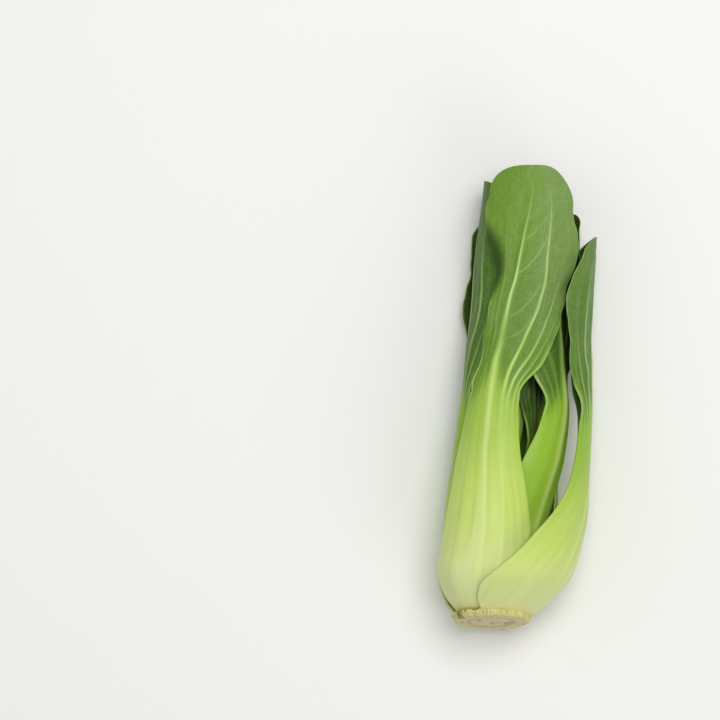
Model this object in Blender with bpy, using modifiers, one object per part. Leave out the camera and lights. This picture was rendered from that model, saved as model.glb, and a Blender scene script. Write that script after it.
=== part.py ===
"""A head of bok choy, cut from its root and lying on its side.

Shapes are worked out in millimetres, and the meshes are made in metres. The head's axis runs along +Y from
the cut to the leaf tips, +Z is up, and the head rests on the plane z = 0.

Each leaf is a thick skin that follows its own shell round the head's axis. The oldest leaf has the widest
shell and each younger leaf the next one inwards, so the leaves overlap round the head without touching.
The whole head is pressed flatter than round, most of all in its leafy half, and flat where it lies.

Two numbers place a point on a leaf: its height above the cut, along the head's axis, and across, from -1 at
one edge of the leaf to 1 at the other.
"""

import math
from dataclasses import dataclass

import bmesh
import bpy
import numpy as np
from mathutils import Vector

METRES = 0.001

# The head. Smooth lines here and below are lists of (height above the cut, value), in millimetres.
SHELL_RADIUS = [(0, 15.2), (3, 16.9), (6, 20.4), (9, 24.6), (14, 28.9), (22, 31.6), (42, 31.6), (70, 29.4),
                (95, 27.6), (125, 27.6), (155, 28.4), (195, 28.2)]
SHELL_SPACING = [(0, 1.2), (4, 1.6), (9, 2.05), (20, 2.35), (60, 2.25), (95, 2.15), (130, 2.6), (195, 2.8)]
LEAST_RADIUS = 2.4         # of the innermost shells
DEPTH_SCALE = [(0, 0.96), (30, 0.88), (90, 0.82), (140, 0.79), (195, 0.77)]
AXIS_HEIGHT = [(0, 23.6), (30, 23.7), (60, 22.9), (95, 20.9), (125, 19.2), (155, 19.0), (195, 19.4)]
AXIS_LEAN = 0.095          # the axis drifts to +X by this share of its length
FLOOR_SHARE = 1.04         # the flattened underside would reach this share of the axis height
FLOOR_SHARPNESS = 10.0     # how suddenly the round underside turns flat
CUT_TILT = 15.0            # degrees by which the cut and the leaves' feet are turned to face up
CUT_REACH = 36.0           # height at which nothing of that turn is left

# How the leaves are set round the head
FIRST_AZIMUTH = 20.0
GOLDEN_ANGLE = 137.508
FOOT_HEIGHT = [(0, 3.0), (4, 4.6), (8, 7.8), (11, 11.2)]   # above the cut, by the leaf's order
WRAP_LIMIT = 1.45          # radians of the way round that half a leaf can't go beyond
WRAP_SHARPNESS = 6.0       # how suddenly it stops there

# A leaf's thickness and relief
STALK_THICKNESS = [(0, 1.8), (4, 2.3), (12, 4.1), (24, 6.1), (36, 6.2), (60, 5.0), (95, 3.5), (125, 2.3),
                   (160, 1.5), (195, 1.1)]
STALK_CURL = [(0, 1.2), (15, 3.0), (45, 3.2), (80, 2.2), (105, 0.2), (140, -1.4), (195, -1.6)]
STALK_EDGE = 1.1           # thickness along the stalk's edges
YOUTH_STEP = 0.057         # share by which each younger leaf is thinner and less wavy
STALK_FADE = 0.5           # share of the blade's length over which the stalk's width fades out
BLADE_THICKNESS = 0.8
BLADE_START = (-10.0, 16.0)   # from the neck: where the stalk's thick section starts and ends its change
MIDRIB_WIDTH = 0.085       # of the way across
MIDRIB_CORE = 0.4          # share of the stalk's extra thickness that the midrib keeps
SIDE_RIB_ACROSS = 0.42
SIDE_RIB_WIDTH = 0.12
SIDE_RIB_HEIGHT = 0.55     # the midrib stands out twice as far
RIB_FADE = 0.55            # share of the blade's length where the ribs start to fade
RIB_GROWTH = [(0, 0), (12, 0.6), (40, 1), (195, 1)]
RIB_ROOM = 21.0            # ribs are lower where the half leaf is narrower than this
EDGE_WAVE = 1.3
EDGE_WAVE_LENGTH = 31.0
EDGE_WAVE_SHIFT = 0.37     # turns by which the two edges are out of step, each its own way

# Where a stalk ends and its blade starts
JUNCTION_GAP = 1.3
JUNCTION_REACH = 0.32      # share of the blade's length over which the stalk's pointed end fades out

# Half of a stalk's width, as a share of its greatest, by share of the stalk's length
STALK_OUTLINE = ((0.0, 0.64), (0.08, 0.88), (0.22, 1.0), (0.36, 0.93), (0.55, 0.79), (0.70, 0.70),
                 (0.86, 0.53), (1.0, 0.38))
WIDE_OUTLINE = ((0.0, 0.66), (0.06, 0.92), (0.12, 1.0), (0.20, 0.91), (0.30, 0.78), (0.42, 0.65),
                (0.58, 0.475), (0.75, 0.36), (1.0, 0.315))

# Columns and rows of faces of a leaf's stalk and blade, and where the columns lie from the middle to an edge
FINE_LEAVES = 6
FINE_GRID = {"stalk": (12, 11), "blade": (12, 13)}
COARSE_GRID = {"stalk": (8, 8), "blade": (8, 9)}
FINE_COLUMNS = [0, 0.09, 0.28, 0.42, 0.57, 0.80, 1]
COARSE_COLUMNS = [0, 0.12, 0.42, 0.74, 1]
STALK_ROW_EASE = 1.5       # rows lie closer at the foot
TIP_END = 0.9985           # share of the blade's length where its last row lies

# The stem: a short core that carries the leaves. Its outline, as (height above the cut, radius), runs from
# the middle of the cut, out to the rim, and up over the dome that the leaves stand on.
STEM_OUTLINE = [(0.5, 0), (0.5, 5.5), (0.1, 11.0), (0.2, 14.2), (0.8, 15.6), (1.7, 16.0), (2.5, 15.2),
                (2.8, 12.4), (3.3, 10.4), (4.2, 8.8), (5.4, 7.4), (6.8, 6.0), (8.4, 4.6), (9.9, 3.0),
                (10.9, 0)]
STEM_SIDES = 30
STEM_LEDGE = 2.7           # the rim's height
STEM_SWING = 0.05          # share by which the rim reaches out under the oldest leaf
STEM_WAVERS = [(0.020, 5, 0.6), (0.012, 9, 2.0)]   # share, waves round the rim, and phase

SKINS = {
    "stalk": ((0.64, 0.76, 0.33, 1.0), 0.38),
    "blade": ((0.16, 0.32, 0.07, 1.0), 0.48),
    "heart_stalk": ((0.74, 0.82, 0.46, 1.0), 0.40),
    "heart_blade": ((0.36, 0.52, 0.14, 1.0), 0.45),
    "stem": ((0.80, 0.77, 0.52, 1.0), 0.65),
}
HEART_LEAVES = 3           # the youngest leaves, paler than the rest


@dataclass
class Leaf:
    """One leaf, in millimetres. Turn (degrees round the head), lean (outwards) and skew are smooth lines.

    Skew is the share by which the half towards +1 is wider than the mean half, and the other narrower.
    """

    top: float              # height of its tip above the cut
    blade: float            # length of its blade
    half_blade: float       # half of the blade's width, measured on the curve
    half_stalk: float       # half of the stalk's greatest width
    turn: tuple = ((0, 0), (195, 0))
    lean: tuple = ((0, 0), (195, 0))
    skew: tuple = ((0, 0), (195, 0))
    wave: float = 0.0       # phase of its wavy edge, in turns
    outline: tuple = STALK_OUTLINE
    curl: float = 1.0       # how far its edges curl, as a share of what is usual
    taper: float = 1.2      # how fast the stalk thins towards its edges
    bluntness: float = 2.6  # exponent of the blade's rounded outline
    widest: float = 0.62    # share of the blade's length where it is widest
    swell: tuple = ((0, 1), (195, 1))   # smooth line of what the blade's width is multiplied by


LEAVES = [
    Leaf(158, 74, 19.0, 35, wave=0.10, outline=WIDE_OUTLINE, curl=0.2, taper=2.4,
         turn=((5, 12), (20, 10), (35, 2), (60, -12), (90, -20), (195, -20)),
         lean=((0, 0), (10, -0.6), (18, 0.3), (34, 2.8), (50, 4.2), (75, 4.8), (95, 4.0), (115, 2.0),
               (158, 0.5))),
    Leaf(170, 84, 20.0, 24.5, wave=0.45, curl=0.5,
         turn=((0, 15), (195, 16)),
         lean=((0, 0), (9, 0.1), (20, 0.7), (50, 0.9), (195, 0.4)),
         skew=((0, 0.15), (30, 0.13), (70, 0.05), (195, 0.0))),
    Leaf(187, 92, 19.2, 25, wave=0.80, bluntness=3.1, widest=0.60,
         outline=((0.0, 0.64), (0.08, 0.88), (0.22, 0.99), (0.36, 0.92), (0.51, 0.80), (0.60, 0.715),
                  (0.69, 0.63), (0.78, 0.555), (0.88, 0.49), (1.0, 0.41)),
         turn=((0, 4), (22, 3), (40, 1), (55, 3), (70, 6), (85, 6.5), (97, 4.5), (106, 0.5), (114, -1),
               (123, -1.5), (132, -3.5), (140, -7), (157, -11), (173, -15), (187, -15.5)),
         lean=((0, 0), (40, 0.3), (70, 1.2), (100, 1.2), (150, 0.8), (195, 0.0)),
         skew=((0, 0.10), (20, 0.09), (40, 0.05), (85, 0.03), (98, -0.08), (106, -0.31), (116, -0.38),
               (124, -0.52), (132, -0.52), (142, -0.46), (150, -0.36), (157, -0.27), (165, -0.10),
               (173, 0.06), (187, 0.20)),
         swell=((98, 1.0), (106, 0.95), (114, 0.88), (123, 0.80), (132, 0.83), (141, 0.84), (149, 0.92),
                (158, 1.03), (170, 1.05), (178, 1.0), (187, 1.0))),
    Leaf(168, 82, 18.5, 21.5, wave=0.25,
         turn=((0, 1), (40, -4), (60, -11), (75, -14), (100, -14), (195, -10)),
         lean=((0, 0), (55, 0.5), (90, 2.2), (110, 2.4), (135, 1.2), (168, 1.4))),
    Leaf(181, 90, 19.5, 24, wave=0.60,
         turn=((0, 0), (90, -5), (195, -10)),
         lean=((0, 0), (40, 0.4), (95, 1.0), (181, 2.0))),
    Leaf(164, 74, 16.0, 17, wave=0.95, curl=1.5,
         turn=((20, 0), (50, -9), (67, -19), (83, -26), (97, -26), (195, -16)),
         lean=((0, 0), (40, 1.4), (55, 4.2), (67, 6.6), (83, 7.6), (100, 5.4), (125, 3.4), (195, 2.0))),
    Leaf(158, 74, 16.5, 19, wave=0.35, turn=((0, 0), (195, 8))),
    Leaf(163, 76, 15.5, 17, wave=0.70, turn=((0, 0), (195, -8))),
    Leaf(138, 64, 13.5, 15, wave=0.15),
    Leaf(122, 56, 11.0, 12, wave=0.55),
    Leaf(102, 46, 8.0, 9, wave=0.90),
    Leaf(80, 37, 5.5, 7, wave=0.30, curl=0.3),
]


def through(points, at):
    """Values, at the given places, of a smooth line through the points, with no overshoot between them."""
    x, y = np.array(points, float).T
    slope = np.diff(y) / np.diff(x)
    before, after = slope[:-1], slope[1:]
    same_way = before * after > 0
    inner = np.where(same_way, 2 * before * after / np.where(same_way, before + after, 1), 0)
    tangent = np.concatenate([slope[:1], inner, slope[-1:]])
    at = np.clip(at, x[0], x[-1])
    k = np.clip(np.searchsorted(x, at, side="right") - 1, 0, len(x) - 2)
    step = x[k + 1] - x[k]
    t = (at - x[k]) / step
    start = (2 * t**3 - 3 * t**2 + 1) * y[k] + (t**3 - 2 * t**2 + t) * step * tangent[k]
    end = (3 * t**2 - 2 * t**3) * y[k + 1] + (t**3 - t**2) * step * tangent[k + 1]
    return start + end


def smooth(low, high, at):
    """0 below low, 1 above high, and smooth between them."""
    t = np.clip((at - low) / (high - low), 0, 1)
    return t * t * (3 - 2 * t)


def soft_limit(value, sharpness):
    """The factor that keeps a value of 1 or more from passing 1, and leaves small values as they are."""
    return (1 + value**sharpness) ** (-1 / sharpness)


def shell(order, height):
    """Radius of the shell that a leaf's outer face follows. Order 0 is the oldest leaf's."""
    radius = through(SHELL_RADIUS, height) - order * through(SHELL_SPACING, height)
    return np.sqrt(np.maximum(radius, 0) ** 2 + LEAST_RADIUS**2)


def lie_down(height, azimuth, radius):
    """Points of the upright, round head as they are when it lies on its side and is pressed flat below."""
    deep = through(DEPTH_SCALE, height)
    above = through(AXIS_HEIGHT, height)
    x = AXIS_LEAN * height + radius * np.cos(azimuth)
    rise = deep * radius * np.sin(azimuth)
    reach = deep * shell(1, height) * np.maximum(-np.sin(azimuth), 0) / (FLOOR_SHARE * above)
    rise = rise * soft_limit(reach, FLOOR_SHARPNESS)
    y = height + math.tan(math.radians(CUT_TILT)) * rise * (1 - smooth(0, CUT_REACH, height))
    return np.stack([x, y, np.maximum(above + rise, 0)], axis=-1)


def foot_and_neck(order):
    """Heights at which a leaf's stalk starts and ends."""
    leaf = LEAVES[order]
    return float(through(FOOT_HEIGHT, order)), leaf.top - leaf.blade


def half_width(order, height):
    """Half of the leaf's width on the curve at a height: a broad foot, a narrow neck and a rounded blade."""
    leaf = LEAVES[order]
    foot, neck = foot_and_neck(order)
    q = np.clip((height - neck) / leaf.blade, 0, 1)
    stalk = leaf.half_stalk * through(leaf.outline, (height - foot) / (neck - foot))
    stalk = stalk * (1 - smooth(0, STALK_FADE, q))
    to_middle = math.log(0.5) / math.log(leaf.widest)
    rounding = 1 - np.abs(2 * q**to_middle - 1) ** leaf.bluntness
    blade = leaf.half_blade * through(leaf.swell, height) * np.maximum(rounding, 0) ** (1 / leaf.bluntness)
    return (stalk**4 + blade**4) ** 0.25


def leaf_skin(order, height, across):
    """Points of a leaf's outer face, and its thickness there, in millimetres."""
    leaf = LEAVES[order]
    neck = foot_and_neck(order)[1]
    in_blade = smooth(neck + BLADE_START[0], neck + BLADE_START[1], height)
    youth = 1 - YOUTH_STEP * order
    width = half_width(order, height) * (1 + through(leaf.skew, height) * np.sign(across))

    middle = youth * through(STALK_THICKNESS, height)
    stalk_thickness = STALK_EDGE + (middle - STALK_EDGE) * (1 - across**2) ** leaf.taper
    midrib = np.exp(-((across / MIDRIB_WIDTH) ** 2))
    side_rib = np.exp(-(((np.abs(across) - SIDE_RIB_ACROSS) / SIDE_RIB_WIDTH) ** 2))
    fade = 1 - smooth(neck + RIB_FADE * leaf.blade, leaf.top, height)
    rib_height = SIDE_RIB_HEIGHT * fade * np.minimum(1, (width / RIB_ROOM) ** 2)
    relief = rib_height * (side_rib + 2 * in_blade * midrib)
    core = MIDRIB_CORE * np.maximum(middle - BLADE_THICKNESS, 0) * midrib
    thickness = stalk_thickness + (BLADE_THICKNESS + relief + core - stalk_thickness) * in_blade

    turns = height / EDGE_WAVE_LENGTH + leaf.wave + EDGE_WAVE_SHIFT * np.sign(across)
    wave = EDGE_WAVE * youth * in_blade * np.abs(across) ** 3 * np.sin(2 * math.pi * turns)
    radius = shell(order, height) + through(leaf.lean, height) + relief * through(RIB_GROWTH, height)
    radius = radius - leaf.curl * youth * through(STALK_CURL, height) * across**2 + wave

    middle_azimuth = np.radians(FIRST_AZIMUTH - GOLDEN_ANGLE * order + through(leaf.turn, height))
    tangent = np.hypot(np.sin(middle_azimuth), through(DEPTH_SCALE, height) * np.cos(middle_azimuth))
    wrap = width / (shell(order, height) * tangent)
    azimuth = middle_azimuth + across * wrap * soft_limit(wrap / WRAP_LIMIT, WRAP_SHARPNESS)

    pointed_end = leaf.half_stalk * leaf.outline[-1][1] * (1 - across**2) ** 3
    height = height + pointed_end * np.exp(-(((height - neck) / (JUNCTION_REACH * leaf.blade)) ** 2))
    return lie_down(height, azimuth, radius), thickness


def new_object(mesh, skin, parent):
    """An object for the mesh, under its own name, in its material."""
    obj = bpy.data.objects.new(mesh.name, mesh)
    head_collection.objects.link(obj)
    mesh.materials.append(materials[skin])
    obj.parent = parent
    return obj


def leaf_grid(order, part):
    """A flat grid from -1 to 1, with the leaf's height and across at each of its corners."""
    leaf = LEAVES[order]
    foot, neck = foot_and_neck(order)
    fine = order < FINE_LEAVES
    columns, rows = (FINE_GRID if fine else COARSE_GRID)[part]
    spacing = FINE_COLUMNS if fine else COARSE_COLUMNS

    grid = bmesh.new()
    bmesh.ops.create_grid(grid, x_segments=columns, y_segments=rows, size=1.0)
    corners = np.array([vert.co for vert in grid.verts])
    column = np.abs(corners[:, 0]) * columns / 2
    across = np.sign(corners[:, 0]) * np.interp(column, range(len(spacing)), spacing)
    step = (corners[:, 1] + 1) / 2
    if part == "stalk":
        height = foot + (neck - JUNCTION_GAP / 2 - foot) * step**STALK_ROW_EASE
    else:
        eased = (1 - np.cos(math.pi * step)) / 2 * TIP_END
        height = neck + JUNCTION_GAP / 2 + (leaf.blade - JUNCTION_GAP / 2) * eased
    return grid, height, across


def faces_inwards(grid):
    """Whether a skin's faces look towards the head's axis rather than away from it."""
    outward = 0.0
    for face in grid.faces:
        middle = face.calc_center_median()
        height = middle.y / METRES
        axis = Vector((AXIS_LEAN * height, height, float(through(AXIS_HEIGHT, height)))) * METRES
        outward += face.calc_area() * face.normal.dot(middle - axis)
    return outward < 0


def leaf_part(order, part, parent):
    """A leaf's stalk or its blade: a grid laid on the leaf's skin, thickened inwards."""
    grid, height, across = leaf_grid(order, part)
    points, thickness = leaf_skin(order, height, across)
    weights = grid.verts.layers.deform.verify()
    for vert, point, thick in zip(grid.verts, points, thickness):
        vert.co = Vector(point) * METRES
        vert[weights][0] = thick / thickness.max()
    bmesh.ops.recalc_face_normals(grid, faces=grid.faces)
    if faces_inwards(grid):
        bmesh.ops.reverse_faces(grid, faces=grid.faces)
    mesh = bpy.data.meshes.new(f"leaf_{order + 1:02d}_{part}")
    grid.to_mesh(mesh)
    grid.free()
    mesh.shade_smooth()

    in_heart = order >= len(LEAVES) - HEART_LEAVES
    obj = new_object(mesh, f"heart_{part}" if in_heart else part, parent)
    obj.vertex_groups.new(name="Thickness")
    body = obj.modifiers.new("Body", "SOLIDIFY")
    body.thickness = thickness.max() * METRES
    body.offset = -1
    body.vertex_group = "Thickness"
    body.use_rim = True
    return obj


def stem(parent):
    """The core that the leaves grow from: a turned knob, bent and pressed as the whole head is."""
    core = bmesh.new()
    profile = [core.verts.new((radius, 0, height)) for height, radius in STEM_OUTLINE]
    edges = [core.edges.new(pair) for pair in zip(profile, profile[1:])]
    turn = {"cent": (0, 0, 0), "axis": (0, 0, 1), "angle": 2 * math.pi, "steps": STEM_SIDES}
    bmesh.ops.spin(core, geom=profile + edges, **turn)
    bmesh.ops.remove_doubles(core, verts=core.verts, dist=METRES)
    for vert in core.verts:
        azimuth = math.atan2(vert.co.y, vert.co.x)
        radius = math.hypot(vert.co.x, vert.co.y)
        if vert.co.z < STEM_LEDGE:
            radius *= 1 + STEM_SWING * math.cos(azimuth - math.radians(FIRST_AZIMUTH))
            wavers = [share * math.sin(waves * azimuth + phase) for share, waves, phase in STEM_WAVERS]
            radius *= 1 + sum(wavers)
        vert.co = Vector(lie_down(vert.co.z, azimuth, radius)) * METRES
    bmesh.ops.recalc_face_normals(core, faces=core.faces)
    mesh = bpy.data.meshes.new("stem")
    core.to_mesh(mesh)
    core.free()
    mesh.shade_smooth()
    return new_object(mesh, "stem", parent)


def centre_over_origin(parent):
    """Moves the head so that the box round all its pieces stands centred over the origin."""
    depsgraph = bpy.context.evaluated_depsgraph_get()
    boxes = [piece.evaluated_get(depsgraph).bound_box for piece in parent.children]
    low, high = np.min(boxes, axis=(0, 1)), np.max(boxes, axis=(0, 1))
    parent.location = (-(low[0] + high[0]) / 2, -(low[1] + high[1]) / 2, -low[2])


def make_material(name, colour, roughness):
    material = bpy.data.materials.new(name)
    material.use_nodes = True
    shader = material.node_tree.nodes["Principled BSDF"]
    shader.inputs["Base Color"].default_value = colour
    shader.inputs["Roughness"].default_value = roughness
    material.diffuse_color = colour
    return material


for old in list(bpy.data.objects):
    bpy.data.objects.remove(old)
head_collection = bpy.data.collections.new("bok_choy")
bpy.context.scene.collection.children.link(head_collection)
materials = {name: make_material(name, *look) for name, look in SKINS.items()}

head = bpy.data.objects.new("head", None)
head_collection.objects.link(head)
stem(head)
for order in range(len(LEAVES)):
    for part in ("stalk", "blade"):
        leaf_part(order, part, head)
centre_over_origin(head)
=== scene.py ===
"""The looks of a head of bok choy lying on its side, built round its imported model.

Shapes are worked out in millimetres in the head's own coordinates: x across, y from the cut to the tips,
and z up from the surface it lies on. add_piece moves them into the frame, in metres.

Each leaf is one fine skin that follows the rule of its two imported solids, with veins, ribs and small waves
added. It is divided into a stalk and a blade, which share the points and normals between them.
A point on a leaf is given by its height above the cut and by across, from -1 at one edge to 1 at the other.
"""

import math
from dataclasses import dataclass
from types import SimpleNamespace

import bpy
import numpy as np
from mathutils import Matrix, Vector


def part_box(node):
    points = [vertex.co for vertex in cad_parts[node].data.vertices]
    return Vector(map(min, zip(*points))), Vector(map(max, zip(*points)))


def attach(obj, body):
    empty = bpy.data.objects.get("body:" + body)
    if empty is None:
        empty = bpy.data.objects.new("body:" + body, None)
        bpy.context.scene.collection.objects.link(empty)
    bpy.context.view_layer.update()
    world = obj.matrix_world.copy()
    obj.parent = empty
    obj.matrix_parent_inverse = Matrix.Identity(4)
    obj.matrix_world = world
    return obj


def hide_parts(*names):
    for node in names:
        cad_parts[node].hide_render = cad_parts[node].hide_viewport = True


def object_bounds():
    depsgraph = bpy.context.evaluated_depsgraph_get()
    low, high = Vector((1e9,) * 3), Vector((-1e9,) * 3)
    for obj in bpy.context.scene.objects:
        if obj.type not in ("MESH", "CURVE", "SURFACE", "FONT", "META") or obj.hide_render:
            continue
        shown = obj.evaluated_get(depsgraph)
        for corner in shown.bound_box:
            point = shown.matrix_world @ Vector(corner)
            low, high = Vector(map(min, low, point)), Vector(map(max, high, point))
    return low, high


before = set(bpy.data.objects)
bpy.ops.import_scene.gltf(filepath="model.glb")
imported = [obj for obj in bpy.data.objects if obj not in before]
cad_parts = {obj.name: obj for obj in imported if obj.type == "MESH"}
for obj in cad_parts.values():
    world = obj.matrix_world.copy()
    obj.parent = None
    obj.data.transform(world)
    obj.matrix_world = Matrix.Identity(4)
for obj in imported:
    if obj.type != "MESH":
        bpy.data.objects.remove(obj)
packed_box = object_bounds()

METRES = 0.001

# The photograph's frame, in pixels, and how the head lies in it
PHOTO_SIZE = 720
PIXELS_PER_MM = 2.45
CUT_PIXEL = (490.0, 624.0)  # the middle of the cut
CAMERA_HEIGHT = 2000.0
SHARP_HEIGHT = 26.0  # where a millimetre has that many pixels
SENSOR = 36.0

# The studio: lamps as (name, place in metres, diameter, power, colour), the world and the floor
LIGHTS = [
    ("key", (0.18, 0.4, 1.25), 0.8, 11.0, (1.0, 0.985, 0.95)),
    ("front", (0.8, -1.00, 0.8), 1.1, 4.4, (1.0, 0.99, 0.97)),
    ("fill", (-0.9, 0.1, 0.8), 0.9, 1.2, (0.96, 0.98, 1.0)),
]
WORLD_COLOUR = (0.98, 0.99, 1.0, 1)
WORLD_STRENGTH = 0.38
FLOOR_COLOUR = (0.86, 0.86, 0.85, 1)
FLOOR_REACH = 4.0  # metres to each side

# The head. Smooth lines here and below are lists of (height above the cut, value), in millimetres.
SHELL_RADIUS = [(0, 15.2), (3, 16.9), (6, 20.4), (9, 24.6), (14, 28.9), (22, 31.6), (42, 31.6), (70, 29.4),
                (95, 27.6), (125, 27.6), (155, 28.4), (195, 28.2)]
SHELL_SPACING = [(0, 1.2), (4, 1.6), (9, 2.05), (20, 2.35), (60, 2.25), (95, 2.15), (130, 2.6), (195, 2.8)]
LEAST_RADIUS = 2.4  # of the innermost shells
DEPTH_SCALE = [(0, 0.96), (30, 0.88), (90, 0.82), (140, 0.79), (195, 0.77)]
AXIS_HEIGHT = [(0, 23.6), (30, 23.7), (60, 22.9), (95, 20.9), (125, 19.2), (155, 19.0), (195, 19.4)]
AXIS_LEAN = 0.095  # the axis drifts to +X by this share of its length
FLOOR_SHARE = 1.04  # the flattened underside would reach this share of the axis height
FLOOR_SHARPNESS = 10.0  # how suddenly the round underside turns flat
CUT_TILT = 15.0  # degrees by which the cut and the leaves' feet are turned to face up
CUT_REACH = 36.0  # height at which nothing of that turn is left

# How the leaves are set round the head
FIRST_AZIMUTH = 20.0
GOLDEN_ANGLE = 137.508
FOOT_HEIGHT = [(0, 3.0), (4, 4.6), (8, 7.8), (11, 11.2)]  # above the cut, by the leaf's order
WRAP_LIMIT = 1.45  # radians of the way round that half a leaf can't go beyond
WRAP_SHARPNESS = 6.0  # how suddenly it stops there

# A leaf's thickness and relief
STALK_THICKNESS = [(0, 1.8), (4, 2.3), (12, 4.1), (24, 6.1), (36, 6.2), (60, 5.0), (95, 3.5), (125, 2.3),
                   (160, 1.5), (195, 1.1)]
STALK_CURL = [(0, 1.2), (15, 3.0), (45, 3.2), (80, 2.2), (105, 0.2), (140, -1.4), (195, -1.6)]
STALK_EDGE = 1.1  # thickness along the stalk's edges
YOUTH_STEP = 0.057  # share by which each younger leaf is thinner and less wavy
STALK_FADE = 0.5  # share of the blade's length over which the stalk's width fades out
BLADE_THICKNESS = 0.8
BLADE_START = (-10.0, 16.0)  # from the neck: where the stalk's thick section starts and ends its change
MIDRIB_WIDTH = 0.085  # of the way across
MIDRIB_CORE = 0.4  # share of the stalk's extra thickness that the midrib keeps
SIDE_RIB = (0.42, 0.12)  # how far across it runs, and its half breadth
SIDE_RIB_HEIGHT = 0.55  # the midrib stands out twice as far
RIB_FADE = 0.55  # share of the blade's length where the ribs start to fade
RIB_GROWTH = [(0, 0), (12, 0.6), (40, 1), (195, 1)]
RIB_ROOM = 21.0  # half width under which the ribs are lower
EDGE_WAVE = 1.3
EDGE_WAVE_LENGTH = 31.0
EDGE_WAVE_SHIFT = 0.37  # turns by which the two edges are out of step, each its own way
JUNCTION_REACH = 0.32  # share of the blade's length over which the stalk's pointed end fades out

# Half of a stalk's width, as a share of its greatest, by share of the stalk's length
STALK_OUTLINE = ((0, 0.64), (0.08, 0.88), (0.22, 1), (0.36, 0.93), (0.55, 0.79), (0.7, 0.7),
                 (0.86, 0.53), (1, 0.38))
WIDE_OUTLINE = ((0, 0.66), (0.06, 0.92), (0.12, 1), (0.2, 0.91), (0.3, 0.78), (0.42, 0.65),
                (0.58, 0.475), (0.75, 0.36), (1, 0.315))

# The stem's outline, as (height, radius), from the middle of the cut over the rim to the dome
STEM_OUTLINE = [(0.5, 0), (0.5, 5.5), (0.1, 11.0), (0.2, 14.2), (0.8, 15.6), (1.7, 16.0), (2.5, 15.2),
                (2.8, 12.4), (3.3, 10.4), (4.2, 8.8), (5.4, 7.4), (6.8, 6.0), (8.4, 4.6), (9.9, 3.0),
                (10.9, 0)]
STEM_SIDES = 30
STEM_LEDGE = 2.7  # the rim's height
STEM_SWING = 0.05  # share by which the rim reaches out under the oldest leaf
STEM_WAVERS = [(0.02, 5, 0.6), (0.012, 9, 2.0)]  # share, waves round the rim, and phase

# How fine the leaves are, in millimetres
FINE_STEP = 0.62  # between the points of an outer leaf
PLAIN_STEP = 0.95  # between the points of an inner leaf
OUTER_LEAVES = 6
BLADE_ROWS = 1.35  # rows of a blade, as a share of evenly spaced ones
SLOPE_STEPS = (0.05, 0.005)  # up the leaf, and round it in radians, to find its shell's slope

# What only the fine leaves have, in millimetres
TIP_END = 0.9999  # share of the blade's length where its last row lies
CALM_TIP = 0.86  # share of the blade's length from where its waves die down
TIP_BLEND = (0.86, 0.94)  # shares of the blade's length over which its normals turn into its shell's
TIP_REACH = 12.0  # length of the tip over which it loses its curl
SHOULDER_REACH = 7.0  # how far up and down the shells' radius is averaged, so that they bend gently
CALM_REACH = 15.0  # how far up and down the width is averaged for what runs along a leaf
AVERAGE_PLACES = 9  # how many values such an average is made from
STRAND_WIDTH = 20.0  # half width at which the fibres have their own size
PATTERN_SHIFT = 60.0  # between two leaves in the random patterns
FOOT_DEPTH = 1.7  # how far a foot reaches into the stem
FOOT_TAPER = 0.22  # share by which it draws in there
EDGE_THINNING = 0.55  # share of the thickness that a blade loses at its edge
EDGE_BULGE = 0.3  # how far a rounded edge stands out, as a share of the thickness
MARGIN_WAVER = 0.016  # share of the width by which a blade's edge wavers
MARGIN_ONSET = 20.0  # length above the neck over which that sets in
RUFFLE = 0.45  # height of the small waves along a blade's edge
PUCKER = 0.16  # how far the tissue rises and sinks between the veins
PUCKER_LENGTH = 6.5
FLUTE = 0.16  # height of the streaks that run up a stalk
VEIN_RELIEF = 0.26
BRANCH_RELIEF = 0.08
GROOVE = 0.5  # share of the relief that shows on a leaf's inner face
RELIEF_START = (-0.08, 0.16)  # shares of the blade's length between which its relief sets in
RELIEF_END = (0.93, 1)  # and between which it dies down
WAX_AND_SHEEN_CHANGE = (-0.65, 0.05)  # across: where one half's wax bloom and painted sheen turn into the other's
FOLD_SHADE_SPREAD = (1.7, 1.3, 1.1)  # painted shade beside a fold, in its breadths: distance, softness and bend
VEIN_WANDER = 0.4  # how far a side vein strays

# Random lines: wavelength, distance between a leaf's halves, and the first leaf's seed
MARGIN_LINE = (13, 40, 100)
RUFFLE_LINE = (9, 60, 0)
VEIN_LINE = (34, 30, 300)
PUCKER_SEED = 900

# The fine stem. Places are distances along its outline, from the middle of the cut.
STEM_FINE_SIDES = 300
STEM_STEP = 0.28
STEM_RIM = 16.0  # radius at which the waves round the rim are measured
RIM = (15.9, 1.3)  # middle and half breadth of the frayed rim
FRAY = 1.0  # how far the rim is worn, inwards and up
COLLAR = (17.4, 0.8)  # and of the torn fibres that stand up round the leaves' feet
COLLAR_RISE = 1.5  # how high they stand
COLLAR_LEAN = 0.35  # how far they lean out
TONGUE_LIMIT = 1.7  # how many times as long the longest are
CUT_EDGE = (12.7, 15.5)  # where the cut face turns into the rim
CUT_DEPTH = 0.3
CUT_ROUGHNESS = 0.16
BUNDLE_RING = (9.2, 0.8)  # radius and half breadth of the ring of bundles in the cut face
BUNDLE_DEPTH = 0.18
SCAR = (-13.6, 8.4, 1.9)  # x and y of a brown spot on the rim, and its reach

# Random surfaces of the stem, from layers of (amount, wavelength, seed)
FRAY_WAVES = [(0.6, 9, 41), (0.4, 3.2, 42)]
FIBRE_WAVES = [(1, 2.2, 43)]
TONGUE_WAVES = [(0.9, 7, 48), (0.7, 2.4, 49)]
ROUGH_WAVES = [(0.7, 4.5, 44), (0.5, 1.4, 45)]
SPOT_WAVES = [(1, 2.0, 46)]

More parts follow.
